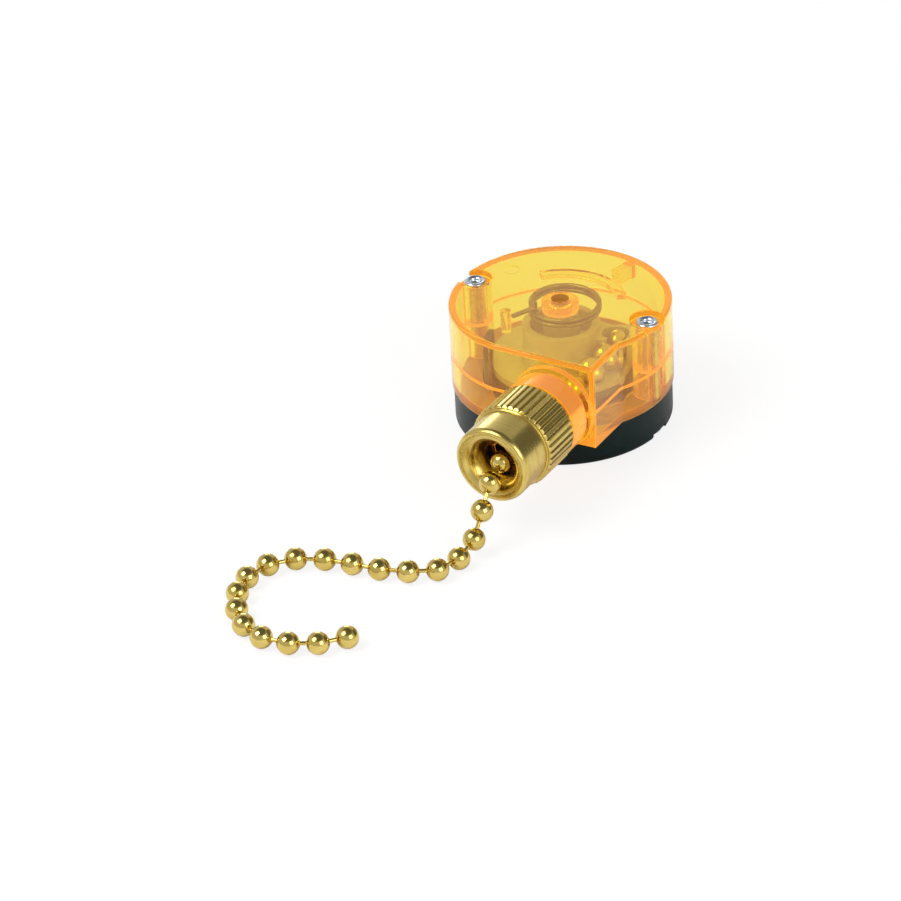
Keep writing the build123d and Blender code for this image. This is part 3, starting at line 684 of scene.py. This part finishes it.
turned_brass = finish(
    "turned_brass", BRASS, BRASS_DEEP, metallic=1,
    skin={"Size": 500, "Along Y": 9, "Detail": 3, "Strength": 0.10, "Height": 0.00001},
    roughness=(0.20, 0.30),
)
knurl = nut.modifiers.new("knurl", "NODES")
knurl.node_group = tree
knurl[sockets["Ridges"]] = NUT_RIDGES
knurl[sockets["Knurl Radius"]] = NUT_KNURL_RADIUS
knurl[sockets["Groove Depth"]] = NUT_GROOVE_DEPTH
knurl[sockets["Groove Share"]] = NUT_GROOVE_SHARE
knurl[sockets["Metal"]] = turned_brass
plain_mesh(nut)
nut.data.transform(
    Matrix.Translation(((nut_low[0] + nut_high[0]) / 2, nut_high[1], (nut_low[2] + nut_high[2]) / 2))
    @ Matrix.Rotation(math.radians(90), 4, "X")
)
nut.data.set_sharp_from_angle(angle=NUT_HARD_ANGLE)
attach(nut, "housing")
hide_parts("bell_nut")


# Ball chain: hollow balls pressed from brass strip round dumbbell wires, polished and lacquered.
# It comes from the drive wheel's pocket through the neck, and lies in an open loop on the table.
BALL_RADIUS = 1.6 * MM
BALL_HOLE = 0.42 * MM
BALL_HOLE_DIP = 0.18
BALL_HOLE_RIM = 0.93
BALL_HOLE_FLOOR = 0.86
BALL_ROWS = 22
BALL_COLUMNS = 44
WIRE_RADIUS = 0.30 * MM
WIRE_COLUMNS = 20
WIRE_HALF = 0.5
CHAIN_HARD_ANGLE = math.radians(40)
BALL_BRASS = (0.66, 0.51, 0.16, 1)
BALL_DEEP = (0.56, 0.41, 0.10, 1)


def ball_centres(node):
    """Middle of each separate ball in a CAD node."""
    work = bmesh.new()
    work.from_mesh(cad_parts[node].data)
    bmesh.ops.remove_doubles(work, verts=work.verts, dist=WELD_REACH)
    left = set(work.verts)
    centres = []
    while left:
        island = {left.pop()}
        front = list(island)
        while front:
            vert = front.pop()
            for side in vert.link_edges:
                other = side.other_vert(vert)
                if other in left:
                    left.discard(other)
                    island.add(other)
                    front.append(other)
        corners = [[vert.co[axis] for vert in island] for axis in range(3)]
        centres.append(Vector([(min(values) + max(values)) / 2 for values in corners]))
    work.free()
    return centres


loose = ball_centres("inner_beads") + ball_centres("chain_beads")
threaded = [max(loose, key=lambda centre: centre.y)]
loose.remove(threaded[0])
while loose:
    threaded.append(min(loose, key=lambda centre: (centre - threaded[-1]).length))
    loose.remove(threaded[-1])

hole_turn = math.asin(BALL_HOLE / BALL_RADIUS)
hole_side = BALL_HOLE - BALL_HOLE * BALL_HOLE_DIP
ball_outline = [
    Vector((0, -BALL_RADIUS * BALL_HOLE_FLOOR)),
    Vector((hole_side, -BALL_RADIUS * BALL_HOLE_RIM)),
]
for index in range(BALL_ROWS + 1):
    turn = hole_turn + (math.pi - 2 * hole_turn) * index / BALL_ROWS
    ball_outline.append(Vector((BALL_RADIUS * math.sin(turn), -BALL_RADIUS * math.cos(turn))))
ball_outline += [
    Vector((hole_side, BALL_RADIUS * BALL_HOLE_RIM)),
    Vector((0, BALL_RADIUS * BALL_HOLE_FLOOR)),
]
ball = bpy.data.objects.new("one_ball", lathe("one_ball", ball_outline, BALL_COLUMNS, False))
wire_outline = [
    Vector((0, -WIRE_HALF)), Vector((WIRE_RADIUS, -WIRE_HALF)),
    Vector((WIRE_RADIUS, WIRE_HALF)), Vector((0, WIRE_HALF)),
]
wire = bpy.data.objects.new("one_wire", lathe("one_wire", wire_outline, WIRE_COLUMNS, False))

thread = bpy.data.meshes.new("ball_chain")
thread.from_pydata(threaded, [(index, index + 1) for index in range(len(threaded) - 1)], [])
chain = bpy.data.objects.new("ball_chain", thread)
bpy.context.scene.collection.objects.link(chain)

tree, sockets, start, end = node_tree("ball_chain", {
    "Ball": "NodeSocketObject",
    "Wire": "NodeSocketObject",
    "Ball Radius": "NodeSocketFloat",
    "Metal": "NodeSocketMaterial",
})
line = tree.nodes.new("GeometryNodeMeshToCurve")
tree.links.new(start.outputs["Geometry"], line.inputs["Mesh"])
tangent = tree.nodes.new("GeometryNodeInputTangent")
along = tree.nodes.new("FunctionNodeAlignRotationToVector")
along.axis = "Z"
tree.links.new(tangent.outputs[0], along.inputs["Vector"])
ball_shape = tree.nodes.new("GeometryNodeObjectInfo")
tree.links.new(start.outputs["Ball"], ball_shape.inputs["Object"])
balls = tree.nodes.new("GeometryNodeInstanceOnPoints")
tree.links.new(line.outputs[0], balls.inputs["Points"])
tree.links.new(ball_shape.outputs["Geometry"], balls.inputs["Instance"])
tree.links.new(along.outputs[0], balls.inputs["Rotation"])

ends = tree.nodes.new("GeometryNodeInputMeshEdgeVertices")
span = tree.nodes.new("ShaderNodeVectorMath")
span.operation = "SUBTRACT"
tree.links.new(ends.outputs["Position 2"], span.inputs[0])
tree.links.new(ends.outputs["Position 1"], span.inputs[1])
kept = tree.nodes.new("GeometryNodeCaptureAttribute")
kept.domain = "EDGE"
kept.capture_items.new("VECTOR", "Span")
tree.links.new(start.outputs["Geometry"], kept.inputs["Geometry"])
tree.links.new(span.outputs[0], kept.inputs["Span"])
middles = tree.nodes.new("GeometryNodeMeshToPoints")
middles.mode = "EDGES"
tree.links.new(kept.outputs["Geometry"], middles.inputs["Mesh"])
across = tree.nodes.new("FunctionNodeAlignRotationToVector")
across.axis = "Z"
tree.links.new(kept.outputs["Span"], across.inputs["Vector"])
length = tree.nodes.new("ShaderNodeVectorMath")
length.operation = "LENGTH"
tree.links.new(kept.outputs["Span"], length.inputs[0])
bare = math_node(tree, "SUBTRACT", length.outputs["Value"], start.outputs["Ball Radius"])
stretch = tree.nodes.new("ShaderNodeCombineXYZ")
stretch.inputs["X"].default_value = 1
stretch.inputs["Y"].default_value = 1
tree.links.new(bare, stretch.inputs["Z"])
wire_shape = tree.nodes.new("GeometryNodeObjectInfo")
tree.links.new(start.outputs["Wire"], wire_shape.inputs["Object"])
wires = tree.nodes.new("GeometryNodeInstanceOnPoints")
tree.links.new(middles.outputs[0], wires.inputs["Points"])
tree.links.new(wire_shape.outputs["Geometry"], wires.inputs["Instance"])
tree.links.new(across.outputs[0], wires.inputs["Rotation"])
tree.links.new(stretch.outputs[0], wires.inputs["Scale"])
both = tree.nodes.new("GeometryNodeJoinGeometry")
tree.links.new(balls.outputs[0], both.inputs[0])
tree.links.new(wires.outputs[0], both.inputs[0])
whole = tree.nodes.new("GeometryNodeRealizeInstances")
tree.links.new(both.outputs[0], whole.inputs[0])
dress = tree.nodes.new("GeometryNodeSetMaterial")
tree.links.new(whole.outputs[0], dress.inputs["Geometry"])
tree.links.new(start.outputs["Metal"], dress.inputs["Material"])
tree.links.new(dress.outputs[0], end.inputs["Geometry"])

ball_brass = finish(
    "ball_brass", BALL_BRASS, BALL_DEEP, metallic=1,
    skin={"Size": 420, "Detail": 3, "Strength": 0.12, "Height": 0.00003}, roughness=(0.10, 0.22),
)
stringing = chain.modifiers.new("stringing", "NODES")
stringing.node_group = tree
stringing[sockets["Ball"]] = ball
stringing[sockets["Wire"]] = wire
stringing[sockets["Ball Radius"]] = BALL_RADIUS
stringing[sockets["Metal"]] = ball_brass
plain_mesh(chain)
bpy.data.objects.remove(ball)
bpy.data.objects.remove(wire)
chain.data.shade_smooth()
chain.data.set_sharp_from_angle(angle=CHAIN_HARD_ANGLE)
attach(chain, "chain")
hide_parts("chain_beads", "chain_links", "inner_beads", "inner_links")


# Rivets: two tubular steel rivets, zinc plated, that hold the case together.
# Each has a flat head under the base, and its open end is rolled over in the cover's pocket.
RIVET_SHANK = 1.0 * MM
RIVET_HEAD = 1.6 * MM
RIVET_HEAD_HEIGHT = 0.5 * MM
RIVET_ROLL = 0.3 * MM
RIVET_ROLL_START = math.radians(-90)
RIVET_ROLL_SWEEP = math.radians(200)
RIVET_CUP = 0.78 * MM
RIVET_CUP_DEPTH = 0.75 * MM
RIVET_CUP_DISH = 0.30 * MM
RIVET_MOUTH_PULL = (1.15, 0.4)
RIVET_DISH_PULL = (0.9, 0.3)
RIVET_FLOOR_PULL = 0.5
RIVET_CURVE_STEPS = 8
RIVET_HARD_ANGLE = math.radians(40)
RIVET_COLUMNS = 56
ZINC = (0.66, 0.72, 0.78, 1)
ZINC_DULL = (0.50, 0.56, 0.62, 1)
rivet_low, rivet_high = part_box("rivets")
rivet_foot = rivet_low[2]
rivet_tip = rivet_high[2]
shoulder = rivet_foot + RIVET_HEAD_HEIGHT
cup_floor = rivet_tip - RIVET_CUP_DEPTH
head_round = RIVET_ROLL / 2
roll_middle = RIVET_HEAD - RIVET_ROLL
rivet_outline = [Vector((0, rivet_foot)), Vector((RIVET_HEAD - head_round, rivet_foot))]
rivet_outline += steps((RIVET_HEAD - head_round, rivet_foot), (RIVET_HEAD, rivet_foot + head_round), 3)[1:]
rivet_outline += [Vector((RIVET_HEAD, rivet_foot + head_round)), Vector((RIVET_HEAD, shoulder))]
rivet_outline += [Vector((RIVET_SHANK, shoulder)), Vector((RIVET_SHANK, rivet_tip - 2 * RIVET_ROLL))]
for index in range(CURVE_STEPS + 1):
    turn = RIVET_ROLL_START + RIVET_ROLL_SWEEP * index / CURVE_STEPS
    rivet_outline.append(Vector((
        roll_middle + RIVET_ROLL * math.cos(turn), rivet_tip - RIVET_ROLL + RIVET_ROLL * math.sin(turn)
    )))
rivet_outline += bezier(
    rivet_outline.pop(),
    (RIVET_CUP * RIVET_MOUTH_PULL[0], rivet_tip - RIVET_ROLL * RIVET_MOUTH_PULL[1]),
    (RIVET_CUP, rivet_tip - RIVET_ROLL),
    (RIVET_CUP, cup_floor + RIVET_CUP_DISH),
    RIVET_CURVE_STEPS,
)
rivet_outline += bezier(
    (RIVET_CUP, cup_floor + RIVET_CUP_DISH),
    (RIVET_CUP * RIVET_DISH_PULL[0], cup_floor + RIVET_CUP_DISH * RIVET_DISH_PULL[1]),
    (RIVET_CUP * RIVET_FLOOR_PULL, cup_floor),
    (0, cup_floor),
    RIVET_CURVE_STEPS,
)
rivet_outline.append(Vector((0, cup_floor)))
one_rivet = bpy.data.objects.new("one_rivet", lathe("one_rivet", rivet_outline, RIVET_COLUMNS, False))
rivet_side = rivet_high[0] - RIVET_HEAD
rivet_spots = bpy.data.meshes.new("tubular_rivets")
rivet_spots.from_pydata([(rivet_side, 0, 0), (-rivet_side, 0, 0)], [], [])
rivets = bpy.data.objects.new("tubular_rivets", rivet_spots)
bpy.context.scene.collection.objects.link(rivets)

tree, sockets, start, end = node_tree("rivets_in_place", {
    "Rivet": "NodeSocketObject",
    "Metal": "NodeSocketMaterial",
})
shape = tree.nodes.new("GeometryNodeObjectInfo")
tree.links.new(start.outputs["Rivet"], shape.inputs["Object"])
set_in = tree.nodes.new("GeometryNodeInstanceOnPoints")
tree.links.new(start.outputs["Geometry"], set_in.inputs["Points"])
tree.links.new(shape.outputs["Geometry"], set_in.inputs["Instance"])
whole = tree.nodes.new("GeometryNodeRealizeInstances")
tree.links.new(set_in.outputs[0], whole.inputs[0])
dress = tree.nodes.new("GeometryNodeSetMaterial")
tree.links.new(whole.outputs[0], dress.inputs["Geometry"])
tree.links.new(start.outputs["Metal"], dress.inputs["Material"])
tree.links.new(dress.outputs[0], end.inputs["Geometry"])
zinc = finish(
    "zinc_plate", ZINC, ZINC_DULL, metallic=1,
    skin={"Size": 900, "Detail": 4, "Strength": 0.15, "Height": 0.00002}, roughness=(0.16, 0.32),
)
setting = rivets.modifiers.new("setting", "NODES")
setting.node_group = tree
setting[sockets["Rivet"]] = one_rivet
setting[sockets["Metal"]] = zinc
plain_mesh(rivets)
bpy.data.objects.remove(one_rivet)
rivets.data.shade_smooth()
rivets.data.set_sharp_from_angle(angle=RIVET_HARD_ANGLE)
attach(rivets, "housing")
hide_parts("rivets")


# Return spring: wound from round spring steel wire, left dark from its hardening, round the cover's hub boss.
# One end stands in the rim of the drive wheel's drum, and the other leans on a post of the cover.
SPRING_STEEL = (0.20, 0.17, 0.18, 1)
SPRING_STEEL_LIGHT = (0.28, 0.24, 0.25, 1)
SPRING_HARD_ANGLE = math.radians(50)
FINE_SKIN = {"Size": 700, "Detail": 3, "Strength": 0.10, "Height": 0.00002}
spring_steel = finish(
    "spring_steel", SPRING_STEEL, SPRING_STEEL_LIGHT, metallic=1, skin=FINE_SKIN, roughness=(0.28, 0.42)
)
spring = dressed_solid("torsion_spring", "return_spring", SPRING_HARD_ANGLE)
spring.data.materials.append(spring_steel)
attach(spring, "housing")
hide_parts("torsion_spring")


# Drive wheel: one pale acetal moulding that turns on the pin, a plate with a drum on it and ratchet teeth
# below. The end bead of the chain sits in the pocket of its arm.
PALE_PLASTIC = (0.66, 0.60, 0.66, 1)
PALE_PLASTIC_DEEP = (0.60, 0.54, 0.60, 1)
WORKS_EDGE = 0.05 * MM
pale_plastic = finish(
    "pale_plastic", PALE_PLASTIC, PALE_PLASTIC_DEEP, metallic=0, skin=FINE_SKIN, roughness=(0.35, 0.48)
)
wheel = dressed_solid("drive_wheel", "drive_moulding", HARD_ANGLE, WORKS_EDGE)
wheel.data.materials.append(pale_plastic)
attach(wheel, "drive")
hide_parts("drive_wheel")


# Rotor: one dark grey moulding under the drive wheel, with the ratchet teeth that the wheel's own fit.
# It turns on the pin and carries the moving contact.
GREY_PLASTIC = (0.12, 0.12, 0.13, 1)
GREY_PLASTIC_LIGHT = (0.16, 0.16, 0.17, 1)
grey_plastic = finish(
    "grey_plastic", GREY_PLASTIC, GREY_PLASTIC_LIGHT, metallic=0, skin=FINE_SKIN, roughness=(0.38, 0.50)
)
rotor = dressed_solid("rotor", "rotor_moulding", HARD_ANGLE, WORKS_EDGE)
rotor.data.materials.append(grey_plastic)
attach(rotor, "switching")
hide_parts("rotor")


# Moving contact: a ring with two lobes, stamped from brass sheet.
# It is fixed under the rotor on its studs, and wipes over the fingers of the terminals.
CONTACT_BRASS = (0.66, 0.47, 0.18, 1)
CONTACT_BRASS_DEEP = (0.52, 0.34, 0.11, 1)
contact_brass = finish(
    "contact_brass", CONTACT_BRASS, CONTACT_BRASS_DEEP, metallic=1, skin=FINE_SKIN, roughness=(0.22, 0.34)
)
contact = dressed_solid("contact_ring", "contact_stamping", HARD_ANGLE, WORKS_EDGE)
contact.data.materials.append(contact_brass)
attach(contact, "switching")
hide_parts("contact_ring")


# Spring washer: a dished ring stamped from thin spring steel, the same dark steel as the return spring.
# It lies round the pin under the rotor and presses it up to the drive wheel.
washer = dressed_solid("spring_washer", "dished_washer", HARD_ANGLE, WORKS_EDGE)
washer.data.materials.append(spring_steel)
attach(washer, "housing")
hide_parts("spring_washer")


# Insulator disc: punched from brown vulcanised fibre sheet, dull and speckled.
# It lies loose on the base over the terminal chambers.
FIBRE = (0.34, 0.20, 0.10, 1)
FIBRE_DEEP = (0.25, 0.14, 0.07, 1)
FIBRE_SKIN = {"Size": 2600, "Detail": 5, "Strength": 0.35, "Height": 0.00003}
fibre = finish("fibre", FIBRE, FIBRE_DEEP, metallic=0, skin=FIBRE_SKIN, roughness=(0.65, 0.80))
disc = dressed_solid("insulator_disc", "fibre_disc", HARD_ANGLE, WORKS_EDGE)
disc.data.materials.append(fibre)
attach(disc, "housing")
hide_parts("insulator_disc")


# Pivot pin: a plain turned steel pin, bright, pressed into the base.
# The drive wheel and the rotor turn on it, and its end shows in the hole of the cover's hub.
BRIGHT_STEEL = (0.30, 0.27, 0.25, 1)
BRIGHT_STEEL_DEEP = (0.22, 0.20, 0.18, 1)
bright_steel = finish(
    "bright_steel", BRIGHT_STEEL, BRIGHT_STEEL_DEEP, metallic=1, skin=FINE_SKIN, roughness=(0.20, 0.32)
)
pin = dressed_solid("pivot_pin", "steel_pin", HARD_ANGLE, WORKS_EDGE)
pin.data.materials.append(bright_steel)
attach(pin, "housing")
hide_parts("pivot_pin")


# Terminals: the common one and three others, each blanked and bent from brass strip, of the contact's brass.
# They stand in the base's chambers, and their fingers rise through the disc's slots to the moving contact.
for node, name in (
    ("terminal_common", "common_terminal"),
    ("terminal_one", "first_terminal"),
    ("terminal_two", "second_terminal"),
    ("terminal_three", "third_terminal"),
):
    terminal = dressed_solid(node, name, HARD_ANGLE, WORKS_EDGE)
    terminal.data.materials.append(contact_brass)
    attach(terminal, "housing")
    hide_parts(node)


# Wire grips: four small leaves bent from spring steel, one in each chamber of the base.
# Each bites a pushed-in wire against the leg of its terminal.
grips = dressed_solid("wire_grips", "grip_leaves", HARD_ANGLE, WORKS_EDGE)
grips.data.materials.append(spring_steel)
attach(grips, "housing")
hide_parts("wire_grips")
